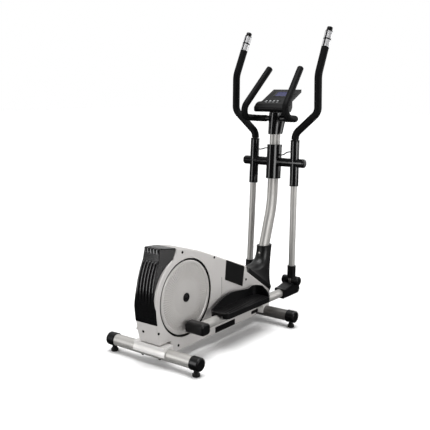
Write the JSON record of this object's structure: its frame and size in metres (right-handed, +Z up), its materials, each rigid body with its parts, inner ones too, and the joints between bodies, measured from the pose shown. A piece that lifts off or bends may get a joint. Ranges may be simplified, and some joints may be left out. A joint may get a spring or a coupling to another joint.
{
  "type": "elliptical trainer",
  "caption": "Home elliptical trainer: rear drive housing with cranks, front mast with console and fixed grips, swing arms with handles, and pedal arms with foot trays.",
  "frame": {"origin": "on the floor, in the middle of the machine's width and midway between its rearmost and foremost points", "axes": "+X from the rear drive housing towards the mast, the way the user faces; +Y to the user's left; +Z up"},
  "size_m": [1.278, 0.6058, 1.6472],
  "materials": {
    "silver_paint": "satin silver paint",
    "silver_plastic": "painted silver, satin",
    "disc_plastic": "painted silver, satin",
    "black_paint": "satin black paint",
    "black_gloss": "gloss black",
    "black_matte": "moulded black",
    "dark_grey": "moulded dark grey",
    "foam": "closed-cell foam",
    "foot_rubber": "moulded rubber",
    "bright_bolt": "plated",
    "pulse_chrome": "plated",
    "bare_steel": "machined",
    "iron": "cast, machined rim",
    "belt_rubber": "ribbed belt",
    "display": "clear window over a blue display",
    "button_grey": "moulded grey",
    "cable_sheath": "matte sheath",
    "dark_motor": "moulded black"
  },
  "bodies": {
    "frame": {"console_body": "black_gloss", "console_lens": "display", "crank_bearings": "bare_steel", "drive_belt": "belt_rubber", "fixed_grips": "foam", "fixed_handlebar": "black_paint", "flywheel_axle": "bare_steel", "front_stabiliser": "silver_paint", "handlebar_cover": "black_gloss", "left_pulse_cable": "cable_sheath", "left_side_shell": "silver_plastic", "main_frame": "black_paint", "mast_boot": "black_gloss", "mast_tube": "silver_paint", "pivot_clamp_cover": "black_gloss", "pivot_shaft": "black_paint", "rear_cover": "black_gloss", "rear_panels": "dark_grey", "rear_stabiliser": "silver_paint", "right_pulse_cable": "cable_sheath", "right_side_shell": "silver_plastic", "saddle_bolts": "bright_bolt", "servo_motor": "dark_motor", "shell_screws": "bright_bolt", "stabiliser_end_caps": "black_matte", "stabiliser_saddles": "silver_paint"},
    "crank": {"crank_axle": "bare_steel", "drive_pulley": "black_matte", "crank_arms": "bare_steel", "crank_discs": "disc_plastic", "hub_caps": "black_matte"},
    "flywheel": {"flywheel": "iron"},
    "brake": {"brake_shoe": "bare_steel"},
    "right_swing": {"right_swing_tube": "silver_paint", "right_pivot_sleeve": "black_gloss", "right_handle": "foam", "right_pulse_plates": "pulse_chrome", "right_swing_tee": "black_matte"},
    "right_pedal": {"right_pedal_arm": "silver_paint", "right_joint_cover": "black_matte", "right_crank_cover": "black_matte", "right_foot_pedal": "black_matte"},
    "left_swing": {"left_swing_tube": "silver_paint", "left_pivot_sleeve": "black_gloss", "left_handle": "foam", "left_pulse_plates": "pulse_chrome", "left_swing_tee": "black_matte"},
    "left_pedal": {"left_pedal_arm": "silver_paint", "left_joint_cover": "black_matte", "left_crank_cover": "black_matte", "left_foot_pedal": "black_matte"},
    "menu_button_key": {"menu_button": "button_grey"},
    "down_button_key": {"down_button": "button_grey"},
    "up_button_key": {"up_button": "button_grey"},
    "reset_button_key": {"reset_button": "button_grey"},
    "pulse_button_key": {"pulse_button": "button_grey"},
    "rear_left_foot_leg": {"rear_left_foot": "foot_rubber"},
    "rear_right_foot_leg": {"rear_right_foot": "foot_rubber"},
    "front_left_foot_leg": {"front_left_foot": "foot_rubber"},
    "front_right_foot_leg": {"front_right_foot": "foot_rubber"}
  },
  "joints": [
    {"name": "crank_spin", "type": "hinge", "parent": "frame", "child": "crank", "pos_m": [-0.40851, 0, 0.3], "axis": [0, 1, 0], "continuous": true},
    {"name": "flywheel_spin", "type": "hinge", "parent": "frame", "child": "flywheel", "pos_m": [-0.12051, 0, 0.265], "axis": [0, 1, 0], "continuous": true},
    {"name": "brake_swing", "type": "hinge", "parent": "frame", "child": "brake", "pos_m": [0.01549, -0.006, 0.19], "axis": [0, 1, 0], "range_deg": [0, 5.7]},
    {"name": "right_arm_swing", "type": "hinge", "parent": "frame", "child": "right_swing", "pos_m": [0.47949, -0.138, 0.89], "axis": [0, -1, 0], "range_deg": [-12.15, 9.5], "deforming": ["right_pulse_cable"]},
    {"name": "left_arm_swing", "type": "hinge", "parent": "frame", "child": "left_swing", "pos_m": [0.47949, 0.138, 0.89], "axis": [0, -1, 0], "range_deg": [-9.5, 12.15], "deforming": ["left_pulse_cable"]},
    {"name": "right_pedal_hinge", "type": "hinge", "parent": "right_swing", "child": "right_pedal", "pos_m": [0.46954, -0.138, 0.20307], "axis": [0, -1, 0], "range_deg": [-9.5, 12.15]},
    {"name": "left_pedal_hinge", "type": "hinge", "parent": "left_swing", "child": "left_pedal", "pos_m": [0.43794, 0.138, 0.20426], "axis": [0, -1, 0], "range_deg": [-12.15, 9.5]},
    {"name": "menu_button_press", "type": "slide", "parent": "frame", "child": "menu_button_key", "axis": [0.4586, 0, -0.8886], "range_m": [0, 0.0015], "stiffness_N_per_m": 900, "springref_m": -0.0006},
    {"name": "down_button_press", "type": "slide", "parent": "frame", "child": "down_button_key", "axis": [0.4586, 0, -0.8886], "range_m": [0, 0.0015], "stiffness_N_per_m": 900, "springref_m": -0.0006},
    {"name": "up_button_press", "type": "slide", "parent": "frame", "child": "up_button_key", "axis": [0.4586, 0, -0.8886], "range_m": [0, 0.0015], "stiffness_N_per_m": 900, "springref_m": -0.0006},
    {"name": "reset_button_press", "type": "slide", "parent": "frame", "child": "reset_button_key", "axis": [0.4586, 0, -0.8886], "range_m": [0, 0.0015], "stiffness_N_per_m": 900, "springref_m": -0.0006},
    {"name": "pulse_button_press", "type": "slide", "parent": "frame", "child": "pulse_button_key", "axis": [0.4586, 0, -0.8886], "range_m": [0, 0.0015], "stiffness_N_per_m": 900, "springref_m": -0.0006},
    {"name": "rear_left_foot_screw", "type": "slide", "parent": "frame", "child": "rear_left_foot_leg", "axis": [0, 0, -1], "range_m": [0, 0.012]},
    {"name": "rear_right_foot_screw", "type": "slide", "parent": "frame", "child": "rear_right_foot_leg", "axis": [0, 0, -1], "range_m": [0, 0.012]},
    {"name": "front_left_foot_screw", "type": "slide", "parent": "frame", "child": "front_left_foot_leg", "axis": [0, 0, -1], "range_m": [0, 0.012]},
    {"name": "front_right_foot_screw", "type": "slide", "parent": "frame", "child": "front_right_foot_leg", "axis": [0, 0, -1], "range_m": [0, 0.012]}
  ],
  "couplings": [
    {"joint": "flywheel_spin", "follows": "crank_spin", "ratio": 6.6667},
    {"joint": "left_arm_swing", "follows": "right_arm_swing", "ratio": -1},
    {"joint": "right_pedal_hinge", "follows": "right_arm_swing", "ratio": -1},
    {"joint": "left_pedal_hinge", "follows": "right_arm_swing", "ratio": 1}
  ]
}
